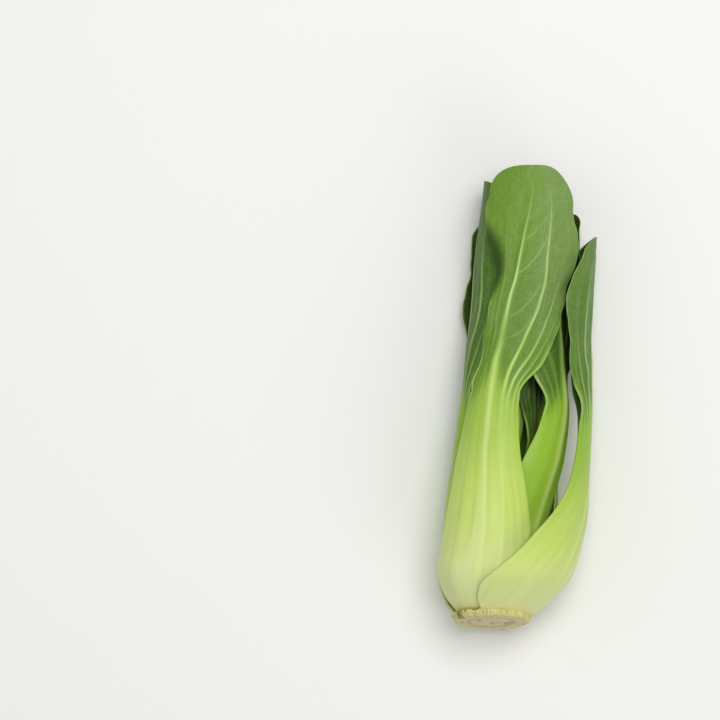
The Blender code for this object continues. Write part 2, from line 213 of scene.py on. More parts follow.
# Long veins: place as a share of the half width, half breadth in mm and strength, each by share of the
# blade's length, negative down the stalk
MIDRIB = (((-1.5, 0), (-0.05, 0), (0.16, 0.05), (0.35, 0), (1, 0)),
          ((-1.5, 1.9), (-0.3, 1.4), (-0.05, 1.15), (0.05, 1.4), (0.15, 1.2), (0.25, 0.95), (0.4, 0.65),
           (0.6, 0.45), (1, 0.2)),
          ((-1.5, 0.35), (-0.8, 0.7), (-0.3, 0.85), (-0.1, 1), (0.02, 0.8), (0.15, 0.72), (0.3, 0.85),
           (0.42, 1), (0.5, 0.95), (0.6, 0.72), (0.75, 0.4), (0.97, 0)))
LATERALS = [
    (((-1.5, 0.32), (-0.3, 0.34), (-0.13, 0.36), (0, 0.43), (0.1, 0.44), (0.2, 0.435), (0.34, 0.5),
      (0.45, 0.51), (0.6, 0.46), (0.73, 0.44), (0.9, 0.48)),
     ((-1.5, 2.2), (-0.3, 1.3), (-0.1, 0.6), (0, 0.46), (0.3, 0.42), (0.6, 0.38), (0.9, 0.22)),
     ((-1.5, 0.1), (-0.3, 0.15), (-0.12, 0.35), (0, 0.8), (0.1, 1), (0.4, 1), (0.7, 0.6),
      (0.93, 0))),
    (((-1.5, 0.52), (-0.3, 0.54), (-0.05, 0.58), (0.04, 0.615), (0.12, 0.67), (0.25, 0.7), (0.4, 0.76),
      (0.6, 0.8)),
     ((-1.5, 1.6), (-0.3, 0.9), (-0.05, 0.42), (0.1, 0.36), (0.3, 0.32), (0.6, 0.2)),
     ((-1.5, 0.08), (-0.3, 0.12), (-0.1, 0.3), (0, 0.65), (0.08, 0.85), (0.3, 0.6), (0.45, 0.3),
      (0.6, 0))),
    (((-1.5, 0.74), (-0.3, 0.77), (0.03, 0.77), (0.1, 0.82), (0.24, 0.85), (0.38, 0.91)),
     ((-1.5, 1.2), (-0.3, 0.7), (0, 0.36), (0.3, 0.26)),
     ((-1.5, 0.06), (-0.3, 0.1), (-0.08, 0.3), (0.03, 0.65), (0.12, 0.55), (0.25, 0.3), (0.4, 0))),
]

# Branches of the midrib: spacing along it in mm, how steeply they climb at it, how much steeper with each
# millimetre, half breadth in mm, and seed
BRANCHES = (14.5, 0.4, 0.115, 0.34, 500)
TWIGS = (5.2, -0.35, 0.0, 0.18, 700)
TWIG_SHARE = 0.4  # of a branch's strength
BRANCH_SHIFT = 0.3  # how far a branch can be off its place, as a share of the spacing
BRANCH_LEAST = 0.15  # strength of the faintest
BRANCH_NUMBERS = (-20, 50)  # of the lowest and highest branch, counted from the neck
BRANCH_DRAWS = 80  # random values for each half of a leaf
BRANCHED = (-0.06, 0.1, 0.55, 0.95)  # shares of the blade's length between which they come and go
BRANCH_FADE = (0.36, 0.62, 0.9)  # across: from where to where a branch fades, and by how much
TWIG_SPAN = (0.05, 0.3, 0.7, 1)  # across: between which twigs come and go

LEVEL = ((0, 0), (195, 0))  # a smooth line that stays at 0


@dataclass
class Leaf:
    """One leaf, in millimetres. Turn (degrees round the head), lean (outwards) and skew are smooth lines.

    Skew is the share by which the half towards +1 is wider than the mean half, and the other narrower.
    """

    top: float  # height of its tip above the cut
    blade: float  # length of its blade
    half_blade: float  # half of the blade's width, measured on the curve
    half_stalk: float  # half of the stalk's greatest width
    turn: tuple = LEVEL
    lean: tuple = LEVEL
    skew: tuple = LEVEL
    wave: float = 0.0  # phase of its wavy edge, in turns
    outline: tuple = STALK_OUTLINE
    curl: float = 1.0  # how far its edges curl, as a share of what is usual
    taper: float = 1.2  # how fast the stalk thins towards its edges
    bluntness: float = 2.6  # exponent of the blade's rounded outline
    widest: float = 0.62  # share of the blade's length where it is widest
    swell: tuple = ((0, 1), (195, 1))  # smooth line of what the blade's width is multiplied by
    folds: tuple = ()  # creases, each also darkened with painted shade: (height, half length, across, half breadth, depth)
    tone_and_shade: float = 0.5  # 1 for a light blade, 0 for a deep green one, low values partly painted shade on inner leaves, below 0 all painted shade
    green: float = 0.0  # how far the stalk's green reaches down, and from 0.6 how far painted shade darkens it
    faint: tuple = (1, 1)  # strength of the side veins in the halves towards -1 and +1
    wax_and_sheen: tuple = (0.4, 0.4)  # how grey its blade is in those halves: wax bloom and painted sheen


LEAVES = [
    Leaf(158, 74, 19.0, 35, wave=0.1, outline=WIDE_OUTLINE, curl=0.2, taper=2.4,
         turn=((5, 12), (20, 10), (35, 2), (60, -12), (90, -20), (195, -20)),
         lean=((0, 0), (10, -0.6), (18, 0.3), (34, 2.8), (50, 4.2), (75, 4.8), (95, 4.0), (115, 2.0),
               (158, 0.5)), tone_and_shade=0.35, green=0.2, faint=(0.7, 0.7)),
    Leaf(170, 84, 20.0, 24.5, wave=0.45, curl=0.5,
         turn=((0, 15), (195, 16)),
         lean=((0, 0), (9, 0.1), (20, 0.7), (50, 0.9), (195, 0.4)),
         skew=((0, 0.15), (30, 0.13), (70, 0.05), (195, 0))),
    Leaf(187, 92, 19.2, 25, wave=0.8, bluntness=3.1, widest=0.6,
         outline=((0, 0.64), (0.08, 0.88), (0.22, 0.99), (0.36, 0.92), (0.51, 0.8), (0.6, 0.715),
                  (0.69, 0.63), (0.78, 0.555), (0.88, 0.49), (1, 0.41)),
         turn=((0, 4), (22, 3), (40, 1), (55, 3), (70, 6), (85, 6.5), (97, 4.5), (106, 0.5), (114, -1),
               (123, -1.5), (132, -3.5), (140, -7), (157, -11), (173, -15), (187, -15.5)),
         lean=((0, 0), (40, 0.3), (70, 1.2), (100, 1.2), (150, 0.8), (195, 0)),
         skew=((0, 0.1), (20, 0.09), (40, 0.05), (85, 0.03), (98, -0.08), (106, -0.31), (116, -0.38),
               (124, -0.52), (132, -0.52), (142, -0.46), (150, -0.36), (157, -0.27), (165, -0.1),
               (173, 0.06), (187, 0.2)),
         swell=((98, 1), (106, 0.95), (114, 0.88), (123, 0.8), (132, 0.83), (141, 0.84), (149, 0.92),
                (158, 1.03), (170, 1.05), (178, 1), (187, 1)),
         # its fold gets painted shade beside it
         folds=((149, 14, 0.95, 0.34, 1.3),), tone_and_shade=0.6, faint=(1, 0.25),
         # its half towards -1 is greyer with painted sheen as well as wax
         wax_and_sheen=(0.9, 0.1)),
    Leaf(168, 82, 18.5, 21.5, wave=0.25,
         turn=((0, 1), (40, -4), (60, -11), (75, -14), (100, -14), (195, -10)),
         lean=((0, 0), (55, 0.5), (90, 2.2), (110, 2.4), (135, 1.2), (168, 1.4)), tone_and_shade=0.2),
    Leaf(181, 90, 19.5, 24, wave=0.6,
         turn=((0, 0), (90, -5), (195, -10)),
         lean=((0, 0), (40, 0.4), (95, 1), (181, 2.0)), tone_and_shade=0.1, green=0.35, faint=(0.6, 0.6),
         wax_and_sheen=(0.2, 0.2)),
    Leaf(164, 74, 16.0, 17, wave=0.95, curl=1.5,
         turn=((20, 0), (50, -9), (67, -19), (83, -26), (97, -26), (195, -16)),
         lean=((0, 0), (40, 1.4), (55, 4.2), (67, 6.6), (83, 7.6), (100, 5.4), (125, 3.4), (195, 2.0)),
         tone_and_shade=0.2, green=0.55, faint=(0.25, 0.25)),
    # The three leaves deep in the head are darkened with painted shade, by a tone below 0 and green above
    # 0.6
    Leaf(158, 74, 16.5, 19, wave=0.35, turn=((0, 0), (195, 8)), tone_and_shade=-0.65, green=1.2,
         faint=(0.3, 0.3), wax_and_sheen=(0, 0)),
    Leaf(163, 76, 15.5, 17, wave=0.7, turn=((0, 0), (195, -8)), tone_and_shade=-0.65, green=1.2,
         faint=(0.3, 0.3), wax_and_sheen=(0, 0)),
    Leaf(138, 64, 13.5, 15, wave=0.15, tone_and_shade=-0.65, green=1.1, faint=(0.4, 0.4), wax_and_sheen=(0, 0)),
    Leaf(122, 56, 11.0, 12, wave=0.55),
    Leaf(102, 46, 8.0, 9, wave=0.9),
    Leaf(80, 37, 5.5, 7, wave=0.3, curl=0.3),
]
HEART_LEAVES = 3  # the youngest leaves, paler than the rest


# Colours on a screen, 0 to 255, of the outer leaves and of the heart's. A stalk's: its dry lower end, then
# its flesh at the foot, in faded patches, above the foot and at the neck, and its streaks. A blade's: two
# deep greens, also used as painted shade on leaves deep in the head, the plain tissue, its wax bloom with
# painted sheen, the veins at the tip and near the neck, and the painted shade beside a fold.
LEAF_COLOURS = {
    "rind": ((214, 210, 134), (220, 210, 140)),
    "foot": ((214, 222, 156), (232, 236, 184)),
    "pith": ((228, 236, 178), (238, 242, 200)),
    "flesh": ((196, 216, 110), (220, 232, 150)),
    "neck": ((138, 178, 48), (182, 208, 92)),
    "streak": ((214, 232, 148), (234, 242, 176)),
    "deep": ((48, 88, 14), (100, 142, 40)),
    "dark": ((26, 54, 6), (80, 120, 30)),
    "tissue": ((115, 154, 46), (142, 178, 66)),
    "bloom": ((131, 160, 87), (158, 188, 88)),
    "vein": ((198, 228, 142), (204, 226, 130)),
    "rib": ((176, 212, 104), (198, 222, 120)),
    "shade": ((30, 58, 4), (70, 104, 22)),
}
STEM_COLOURS = {
    "face": (226, 216, 168),
    "face_grain": (202, 188, 142),
    "face_spot": (146, 108, 62),
    "bundle": (166, 138, 82),
    "rim": (226, 222, 150),
    "rim_strand": (204, 196, 116),
    "frayed": (164, 146, 80),
    "rim_spot": (128, 104, 50),
    "scar": (108, 96, 36),
}


def through(points, at):
    """Values, at the given places, of a smooth line through the points, with no overshoot between them."""
    x, y = np.array(points, float).T
    slope = np.diff(y) / np.diff(x)
    before, after = slope[:-1], slope[1:]
    same_way = before * after > 0
    inner = np.where(same_way, 2 * before * after / np.where(same_way, before + after, 1), 0)
    tangent = np.concatenate([slope[:1], inner, slope[-1:]])
    at = np.clip(at, x[0], x[-1])
    k = np.clip(np.searchsorted(x, at, side="right") - 1, 0, len(x) - 2)
    step = x[k + 1] - x[k]
    t = (at - x[k]) / step
    start = (2 * t**3 - 3 * t**2 + 1) * y[k] + (t**3 - 2 * t**2 + t) * step * tangent[k]
    end = (3 * t**2 - 2 * t**3) * y[k + 1] + (t**3 - t**2) * step * tangent[k + 1]
    return start + end


def colour(red, green, blue):
    """A linear colour from its values on a screen, 0 to 255."""
    share = np.array([red, green, blue]) / 255
    linear = np.where(share <= 0.04045, share / 12.92, ((share + 0.055) / 1.055) ** 2.4)
    return (*linear.tolist(), 1.0)


def smooth(low, high, at):
    """0 below low, 1 above high, and smooth between them."""
    t = np.clip((at - low) / (high - low), 0, 1)
    return t * t * (3 - 2 * t)


def soft_limit(value, sharpness):
    """The factor that keeps a value of 1 or more from passing 1, and leaves small values as they are."""
    return (1 + value**sharpness) ** (-1 / sharpness)


def bell(distance, reach):
    """1 where the distance is 0, and less and less to both sides."""
    return np.exp(-((distance / reach) ** 2))


def ridge(place, at):
    """The same for a ridge whose place is (middle, half breadth)."""
    return bell(at - place[0], place[1])


def waver(x, y, length, seed):
    """A smooth random surface of about that wavelength, from -1 to 1 for the most part."""
    draw = np.random.default_rng(seed)
    waves = 7
    turns = draw.uniform(0, math.pi, waves)
    stretches = draw.uniform(0.7, 1.5, waves)
    phases = draw.uniform(0, 2 * math.pi, waves)
    total = np.zeros(np.broadcast(x, y).shape)
    for turn, stretch, phase in zip(turns, stretches, phases):
        along = x * math.cos(turn) + y * math.sin(turn)
        total += np.sin(2 * math.pi * along / (length * stretch) + phase)
    return total / waves**0.5 / 1.6


def waver_sum(x, y, layers):
    """Several such surfaces on top of each other. A layer is (amount, wavelength, seed)."""
    return sum(amount * waver(x, y, length, seed) for amount, length, seed in layers)


def leaf_waver(order, height, across, kind):
    """A random line up a leaf, another one in each half."""
    length, apart, seed = kind
    return waver(height, apart * np.sign(across), length, seed + order)


def unit(vectors):
    """The vectors' directions, each 1 long."""
    return vectors / np.maximum(np.linalg.norm(vectors, axis=-1, keepdims=True), 1e-9)


def averaged(line, reach):
    """The mean of line(step) over steps up and down as far as the reach, where the nearest count most."""
    steps = np.linspace(-1, 1, AVERAGE_PLACES + 2)[1:-1]
    weights = [1 + math.cos(math.pi * step) for step in steps]
    return sum(weight * line(step * reach) for step, weight in zip(steps, weights)) / sum(weights)


def shell(order, height):
    """Radius of the shell that a leaf's outer face follows. Order 0 is the oldest leaf's."""
    reach = SHOULDER_REACH * smooth(0, 2 * SHOULDER_REACH, height)
    radius = averaged(lambda step: through(SHELL_RADIUS, height + step), reach)
    radius = radius - order * through(SHELL_SPACING, height)
    return np.sqrt(np.maximum(radius, 0) ** 2 + LEAST_RADIUS**2)


def lie_down(height, azimuth, radius):
    """Points of the upright, round head as they are when it lies on its side and is pressed flat below."""
    deep = through(DEPTH_SCALE, height)
    above = through(AXIS_HEIGHT, height)
    x = AXIS_LEAN * height + radius * np.cos(azimuth)
    rise = deep * radius * np.sin(azimuth)
    reach = deep * shell(1, height) * np.maximum(-np.sin(azimuth), 0) / (FLOOR_SHARE * above)
    rise = rise * soft_limit(reach, FLOOR_SHARPNESS)
    y = height + math.tan(math.radians(CUT_TILT)) * rise * (1 - smooth(0, CUT_REACH, height))
    return np.stack([x, y, np.maximum(above + rise, 0)], axis=-1)


def foot_and_neck(order):
    """Heights at which a leaf's stalk starts and ends."""
    leaf = LEAVES[order]
    return float(through(FOOT_HEIGHT, order)), leaf.top - leaf.blade


def half_width(order, height):
    """Half of the leaf's width on the curve: a broad foot, a narrow neck and a rounded blade."""
    leaf = LEAVES[order]
    foot, neck = foot_and_neck(order)
    q = np.clip((height - neck) / leaf.blade, 0, 1)
    stalk = leaf.half_stalk * through(leaf.outline, (height - foot) / (neck - foot))
    stalk = stalk * (1 - smooth(0, STALK_FADE, q))
    to_middle = math.log(0.5) / math.log(leaf.widest)
    rounding = 1 - np.abs(2 * q**to_middle - 1) ** leaf.bluntness
    blade = leaf.half_blade * through(leaf.swell, height) * np.maximum(rounding, 0) ** (1 / leaf.bluntness)
    return (stalk**4 + blade**4) ** 0.25


def side_width(order, height, across):
    """Width of the half leaf that a point lies in, with its wavering edge."""
    onset = smooth(0, MARGIN_ONSET, height - foot_and_neck(order)[1])
    edge = 1 + MARGIN_WAVER * onset * leaf_waver(order, height, across, MARGIN_LINE)
    skew = through(LEAVES[order].skew, height) * np.sign(across)
    return half_width(order, height) * (1 + skew) * edge


def leaf_skin(order, height, across):
    """Points of a leaf's outer face, its thickness there, and each point's place on the upright head."""
    leaf = LEAVES[order]
    foot, neck = foot_and_neck(order)
    in_blade = smooth(neck + BLADE_START[0], neck + BLADE_START[1], height)
    youth = 1 - YOUTH_STEP * order
    width = side_width(order, height, across)

    middle = youth * through(STALK_THICKNESS, height)
    stalk_thickness = STALK_EDGE + (middle - STALK_EDGE) * (1 - across**2) ** leaf.taper
    midrib = bell(across, MIDRIB_WIDTH)
    side_rib = ridge(SIDE_RIB, np.abs(across))
    fade = 1 - smooth(neck + RIB_FADE * leaf.blade, leaf.top, height)
    rib_height = SIDE_RIB_HEIGHT * fade * np.minimum(1, (half_width(order, height) / RIB_ROOM) ** 2)
    relief = rib_height * (side_rib + 2 * in_blade * midrib)
    core = MIDRIB_CORE * np.maximum(middle - BLADE_THICKNESS, 0) * midrib
    thickness = stalk_thickness + (BLADE_THICKNESS + relief + core - stalk_thickness) * in_blade
    thickness = thickness * (1 - EDGE_THINNING * in_blade * np.abs(across) ** 8)

    turns = height / EDGE_WAVE_LENGTH + leaf.wave + EDGE_WAVE_SHIFT * np.sign(across)
    wave = EDGE_WAVE * np.abs(across) ** 3 * np.sin(2 * math.pi * turns)
    wave = wave + RUFFLE * np.abs(across) ** 6 * leaf_waver(order, height, across, RUFFLE_LINE)
    wave = wave * youth * in_blade * (1 - smooth(neck + CALM_TIP * leaf.blade, leaf.top, height))
    radius = shell(order, height) + through(leaf.lean, height) + relief * through(RIB_GROWTH, height)
    flat_tip = 1 - smooth(leaf.top - TIP_REACH, leaf.top, height)
    radius = radius - leaf.curl * youth * through(STALK_CURL, height) * flat_tip * across**2 + wave
    radius = radius * (1 - FOOT_TAPER * np.clip((foot - height) / FOOT_DEPTH, 0, 1))
    for at, length, side, breadth, depth in leaf.folds:
        radius = radius - depth * bell(height - at, length) * bell(across - side, breadth)

    middle_azimuth = np.radians(FIRST_AZIMUTH - GOLDEN_ANGLE * order + through(leaf.turn, height))
    tangent = np.hypot(np.sin(middle_azimuth), through(DEPTH_SCALE, height) * np.cos(middle_azimuth))
    wrap = width / (shell(order, height) * tangent)
    azimuth = middle_azimuth + across * wrap * soft_limit(wrap / WRAP_LIMIT, WRAP_SHARPNESS)

    pointed_end = leaf.half_stalk * leaf.outline[-1][1] * (1 - across**2) ** 3
    height = height + pointed_end * bell(height - neck, JUNCTION_REACH * leaf.blade)
    return lie_down(height, azimuth, radius), thickness, (height, azimuth, radius)


def calm_width(order, height, across):
    """The half leaf's width averaged up and down the leaf, so that what runs along it has no kinks."""

    def at_step(step):
        skew = through(LEAVES[order].skew, height + step) * np.sign(across)
        return half_width(order, height + step) * (1 + skew)

    return averaged(at_step, CALM_REACH)


def line_strength(vein, share, side, width):
    """How strongly a long vein shows, from 0 to 1, at that way from the middle of a half leaf so wide."""
    path, half, strength = (through(line, share) for line in vein)
    return strength * bell(side - path * width, half)


def branch_strength(order, height, across, width, kind):
    """How strongly branches show: lines that leave the midrib at a slant, each a bit off its place."""
    spacing, rise, bend, half, seed = kind
    side = np.abs(across) * width
    at = (height - foot_and_neck(order)[1] - rise * side - bend * side**2) / spacing
    slant = np.sqrt(1 + (rise + 2 * bend * side) ** 2)
    draw = np.random.default_rng(seed + order)
    shift = draw.uniform(-BRANCH_SHIFT, BRANCH_SHIFT, (2, BRANCH_DRAWS))
    bold = draw.uniform(BRANCH_LEAST, 1.0, (2, BRANCH_DRAWS))
    half_leaf = (across > 0).astype(int)
    strength = np.zeros(at.shape)
    for neighbour in (-1, 0, 1):
        number = np.clip(np.round(at).astype(int) + neighbour, *BRANCH_NUMBERS)
        own = (half_leaf, number - BRANCH_NUMBERS[0])
        distance = (at - number - shift[own]) * spacing / slant
        strength = np.maximum(strength, bold[own] * bell(distance, half))
    return strength


def between(span, at):
    """1 within the span's two middle numbers, 0 outside its outer ones, and smooth between them."""
    return smooth(span[0], span[1], at) * (1 - smooth(span[2], span[3], at))


def vein_maps(order, height, across):
    """Strength of the long veins and of their branches at each point of a leaf."""
    leaf = LEAVES[order]
    share = (height - foot_and_neck(order)[1]) / leaf.blade
    width = side_width(order, height, across)
    side = np.abs(across) * width + VEIN_WANDER * leaf_waver(order, height, across, VEIN_LINE)
    calm = calm_width(order, height, across)
    faint = np.where(across < 0, leaf.faint[0], leaf.faint[1])
    long = line_strength(MIDRIB, share, across * width, half_width(order, height))
    for vein in LATERALS:
        long = np.maximum(long, faint * line_strength(vein, share, side, calm))
    branch = branch_strength(order, height, across, width, BRANCHES)
    branch = branch * (1 - BRANCH_FADE[2] * smooth(BRANCH_FADE[0], BRANCH_FADE[1], np.abs(across)))
    twig = branch_strength(order, height, across, width, TWIGS) * between(TWIG_SPAN, np.abs(across))
    return long, faint * between(BRANCHED, share) * np.maximum(branch, TWIG_SHARE * twig)


def leaf_fields(order):
    """A leaf's fine grid: the row of its neck, both faces, thickness, normals and its material's fields."""
    leaf = LEAVES[order]
    foot, neck = foot_and_neck(order)
    step = FINE_STEP if order < OUTER_LEAVES else PLAIN_STEP
    neck_row = math.ceil((neck - foot) / step)
    blade_rows = math.ceil(BLADE_ROWS * leaf.blade / step)
    columns = math.ceil(2 * half_width(order, np.linspace(foot, leaf.top, 60)).max() / step)
    eased = (1 - np.cos(np.linspace(0, math.pi, blade_rows + 1))) / 2
    stalk_heights = np.linspace(foot - FOOT_DEPTH, neck, neck_row + 1)
    heights = np.concatenate([stalk_heights[:-1], neck + leaf.blade * TIP_END * eased])
    height, across = np.meshgrid(heights, np.linspace(-1, 1, columns + 1), indexing="ij")

    outer, thickness, spot = leaf_skin(order, height, across)
    width = side_width(order, height, across)
    long, branch = vein_maps(order, height, across)
    share = (height - neck) / leaf.blade
    in_blade = smooth(*RELIEF_START, share)
    quiet = 1 - np.maximum(long, branch)
    pucker = PUCKER * in_blade * quiet * waver(across * width, height, PUCKER_LENGTH, PUCKER_SEED + order)
    relief = (VEIN_RELIEF * in_blade + FLUTE * (1 - in_blade)) * long + BRANCH_RELIEF * branch + pucker
    relief = relief * (1 - YOUTH_STEP * order) * (1 - smooth(*RELIEF_END, share))
    normal = leaf_normals(outer, spot, share)
    inner = outer - normal * (thickness - GROOVE * relief)[..., None]
    outer = outer + normal * relief[..., None]
    normals = leaf_normals(outer, spot, share), -leaf_normals(inner, spot, share)

    apart = np.full(height.shape, PATTERN_SHIFT * order)
    strand = across * width / calm_width(order, height, across) * STRAND_WIDTH
    # Painted shade beside each fold: darker from some way off it out to the leaf's edge on that side
    crease = np.zeros(height.shape)
    for at, length, side, breadth, _ in leaf.folds:
        start = side - breadth * (FOLD_SHADE_SPREAD[0] - FOLD_SHADE_SPREAD[2] * ((height - at) / length) ** 2)
        crease = np.maximum(crease, smooth(start, start + FOLD_SHADE_SPREAD[1] * breadth, across))
    fields = {
        "place": np.stack([across * width, height, apart], axis=-1),
        "strand": np.stack([strand, height, apart], axis=-1),
        "rise": np.clip((height - foot) / (neck - foot), 0, 1),
        "share": share,
        "long": long,
        "branch": branch,
        "edge": np.abs(across),
        "tone_and_shade": np.full(height.shape, leaf.tone_and_shade),
        "green": np.full(height.shape, leaf.green),
        "crease": crease,
        "wax_and_sheen": leaf.wax_and_sheen[0] + (leaf.wax_and_sheen[1] - leaf.wax_and_sheen[0]) * smooth(*WAX_AND_SHEEN_CHANGE, across),
    }
    return neck_row, outer, inner, thickness, normals, fields


def grid_normals(points):
    """Unit normals of a grid of points, on the side that looks away from the head's axis."""
    along, around = np.gradient(points, axis=0), np.gradient(points, axis=1)
    normal = unit(np.cross(along, around))
    height = points[..., 1]
    axis = np.stack([AXIS_LEAN * height, height, through(AXIS_HEIGHT, height)], axis=-1)
    return normal * np.sign(np.sum(normal * (points - axis)))


def leaf_normals(points, spot, share):
    """Unit normals of a leaf's face, and of its shell at the tip, where the rows crowd together."""
    height, azimuth, radius = spot
    step, turn = SLOPE_STEPS
    along = lie_down(height + step, azimuth, radius) - lie_down(height - step, azimuth, radius)
    around = lie_down(height, azimuth + turn, radius) - lie_down(height, azimuth - turn, radius)
    weight = smooth(*TIP_BLEND, share)[..., None]
    return unit(grid_normals(points) * (1 - weight) + unit(np.cross(along, around)) * weight)


def ring(outer, right, inner, left):
    """Rows of a closed section: the outer face, the right edge, the inner face back, and the left edge."""
    return np.concatenate([outer, right[:, None], inner[:, ::-1], left[:, None]], axis=1)


def closed_faces(rows, columns):
    """Faces of a stack of closed sections with a cap at each end."""
    length = 2 * columns + 4
    index = np.arange(rows * length).reshape(rows, length)
    turned = np.roll(index, -1, axis=1)
    walls = np.stack([index[:-1], turned[:-1], turned[1:], index[1:]], axis=-1).reshape(-1, 4).tolist()
    caps = []
    for row, flip in ((0, True), (rows - 1, False)):
        first = index[row]
        front, back = first[:columns + 1], first[columns + 2:length - 1][::-1]
        cap = [[front[k], front[k + 1], back[k + 1], back[k]] for k in range(columns)]
        cap += [[front[-1], first[columns + 1], back[-1]], [back[0], first[-1], front[0]]]
        caps += [face[::-1] if flip else face for face in cap]
    return walls + [[int(corner) for corner in face] for face in caps]


def facing_out(points, faces):
    """The faces of a closed mesh, all turned over where they look inwards."""
    quads = np.array([face for face in faces if len(face) == 4])
    a, b, c, d = (points[quads[:, k]] for k in range(4))
    volume = np.sum(a * np.cross(b, c)) + np.sum(a * np.cross(c, d))
    return [face[::-1] for face in faces] if volume < 0 else faces


def add_piece(node, slot, points, faces, fields, normals=None):
    """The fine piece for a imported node, from points in millimetres and its material's fields."""
    mesh = bpy.data.meshes.new(f"fine_{node}")
    places = np.clip(points * METRES + np.array(HEAD_AT), *packed_box)
    mesh.from_pydata(places.tolist(), [], facing_out(points, faces))
    mesh.shade_smooth()
    for name, values in fields.items():
        vector = values.ndim > 1
        layer = mesh.attributes.new(name, "FLOAT_VECTOR" if vector else "FLOAT", "POINT")
        layer.data.foreach_set("vector" if vector else "value", values.astype(np.float32).ravel())
    if normals is not None:
        mesh.normals_split_custom_set_from_vertices(normals.tolist())
    mesh.materials.append(MATERIALS[slot])
    piece = bpy.data.objects.new(f"fine_{node}", mesh)
    bpy.context.scene.collection.objects.link(piece)
    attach(piece, "root")
    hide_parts(node)


def add_leaf(order):
    """The fine stalk and blade of one leaf."""
    neck_row, outer, inner, thickness, (outer_normals, inner_normals), fields = leaf_fields(order)
    to_right, to_left = unit(outer[:, -1] - outer[:, -2]), unit(outer[:, 0] - outer[:, 1])
    bulge = EDGE_BULGE * thickness[:, :1]
    right = (outer[:, -1] + inner[:, -1]) / 2 + to_right * bulge
    left = (outer[:, 0] + inner[:, 0]) / 2 + to_left * bulge
    points = ring(outer, right, inner, left)
    normals = ring(outer_normals, to_right, inner_normals, to_left)
    fields = {name: ring(grid, grid[:, -1], grid, grid[:, 0]) for name, grid in fields.items()}
    face = np.zeros(outer.shape[:2])
    fields["inside"] = ring(face, face[:, -1] + 0.5, face + 1, face[:, 0] + 0.5)

    age = "heart_" if order >= len(LEAVES) - HEART_LEAVES else ""
    for part, rows in (("stalk", slice(0, neck_row + 1)), ("blade", slice(neck_row, len(outer)))):
        faces = closed_faces(len(points[rows]), outer.shape[1] - 1)
        own = {name: grid[rows].reshape(-1, *grid.shape[2:]) for name, grid in fields.items()}
        own_points, own_normals = points[rows].reshape(-1, 3), normals[rows].reshape(-1, 3)
        add_piece(f"leaf_{order + 1:02d}_{part}", age + part, own_points, faces, own, own_normals)


def stem_points(azimuth, height, radius):
    """Points of the stem from its turned profile, with its wavering rim."""
    swing = 1 + STEM_SWING * np.cos(azimuth - math.radians(FIRST_AZIMUTH))
    wavers = [share * np.sin(waves * azimuth + phase) for share, waves, phase in STEM_WAVERS]
    radius = np.where(height < STEM_LEDGE, radius * swing * (1 + sum(wavers)), radius)
    return lie_down(height, azimuth, radius)


def head_place():
    """The way from the head's own coordinates to the frame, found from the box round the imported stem."""
    height, radius = np.array(STEM_OUTLINE).T
    azimuth = np.linspace(0, 2 * math.pi, STEM_SIDES, endpoint=False)[:, None]
    points = stem_points(azimuth, height[None, :], radius[None, :]).reshape(-1, 3) * METRES
    low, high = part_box("stem")
    return (low + high) / 2 - Vector((points.min(axis=0) + points.max(axis=0)) / 2)


def add_stem():
    """The fine stem: a frayed rim that reaches up round the leaves' feet, and a cut face with bundles."""
    height, radius = np.array(STEM_OUTLINE).T
    way = np.concatenate([[0], np.cumsum(np.hypot(np.diff(height), np.diff(radius)))])
    along = np.linspace(0, way[-1], math.ceil(way[-1] / STEM_STEP) + 1)[1:-1]
    fine_height = through(list(zip(way, height)), along)[None, :]
    fine_radius = through(list(zip(way, radius)), along)[None, :]
    azimuth = np.linspace(0, 2 * math.pi, STEM_FINE_SIDES, endpoint=False)[:, None]
    x, y = fine_radius * np.cos(azimuth), fine_radius * np.sin(azimuth)
    around = STEM_RIM * np.cos(azimuth), STEM_RIM * np.sin(azimuth)

    rim = ridge(RIM, along)[None, :]
    collar = ridge(COLLAR, along)[None, :]
    cut = 1 - smooth(*CUT_EDGE, along)[None, :]
    fibres = np.abs(waver_sum(*around, FIBRE_WAVES))
    tongues = np.clip(0.5 + waver_sum(*around, TONGUE_WAVES), 0, TONGUE_LIMIT)
    bundles = ridge(BUNDLE_RING, fine_radius)
    spots = np.clip(waver_sum(x, y, SPOT_WAVES), 0, 1)
    new_radius = fine_radius - FRAY * rim * (0.5 + 0.5 * waver_sum(*around, FRAY_WAVES))
    new_radius = new_radius + COLLAR_LEAN * collar * tongues
    new_height = fine_height + FRAY * rim * fibres + COLLAR_RISE * collar * tongues
    sunk = CUT_DEPTH + CUT_ROUGHNESS * waver_sum(x, y, ROUGH_WAVES)
    sunk = sunk + BUNDLE_DEPTH * bundles * (1 + spots)
    points = stem_points(azimuth, new_height + cut * sunk, new_radius)

    rows, columns = points.shape[:2]
    index = np.arange(rows * columns).reshape(rows, columns)
    turned = np.roll(index, -1, axis=0)
    corners = index[:, :-1], index[:, 1:], turned[:, 1:], turned[:, :-1]
    faces = np.stack(corners, axis=-1).reshape(-1, 4).tolist()
    bottom, top = rows * columns, rows * columns + 1
    faces += [[bottom, int(index[k, 0]), int(turned[k, 0])] for k in range(rows)]
    faces += [[top, int(turned[k, -1]), int(index[k, -1])] for k in range(rows)]
    end_heights = height[[0, -1]] + np.array([CUT_DEPTH, 0.0])
    ends = stem_points(np.zeros(2), end_heights, radius[[0, -1]])

    def with_ends(values, at_ends=(0.0, 0.0)):
        return np.concatenate([np.broadcast_to(values, (rows, columns)).ravel(), at_ends])

    fields = {
        "place": np.stack([with_ends(x), with_ends(y), with_ends(fine_height)], axis=-1),
        "cut": with_ends(cut, (1.0, 0.0)),
        "frayed": with_ends(fibres * rim),
        "bundles": with_ends(bundles * cut),
        "scar": with_ends(bell(x - SCAR[0], SCAR[2]) * bell(y - SCAR[1], SCAR[2])),
    }
    add_piece("stem", "stem", np.concatenate([points.reshape(-1, 3), ends]), faces, fields)


